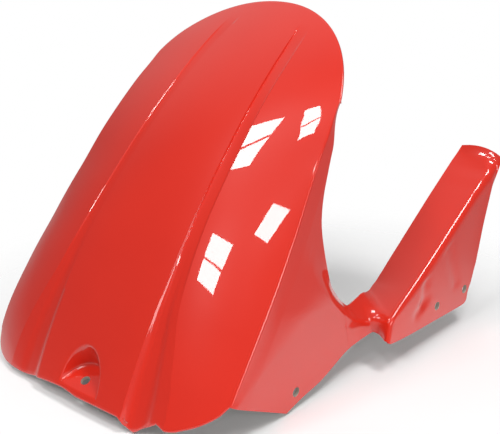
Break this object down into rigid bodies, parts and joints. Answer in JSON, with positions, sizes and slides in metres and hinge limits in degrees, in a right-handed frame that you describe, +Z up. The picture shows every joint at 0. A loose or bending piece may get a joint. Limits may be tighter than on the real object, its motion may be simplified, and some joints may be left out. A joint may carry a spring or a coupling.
{
  "type": "rear hugger mudguard",
  "caption": "Glossy red motorbike rear hugger mudguard with a creased crown, a recessed front bolt pocket, a side tab and a joined chain guard.",
  "frame": {"origin": "centre of the front bolt hole, on the floor of its pocket", "axes": "+X forwards along the level line of the chain guard bolts, +Y to the bike's left, the chain side, +Z up"},
  "size_m": [0.3382, 0.2433, 0.2516],
  "materials": {
    "shell": "gloss red paint over moulded plastic, bare underneath"
  },
  "bodies": {
    "root": {"hugger": "shell"}
  },
  "joints": []
}
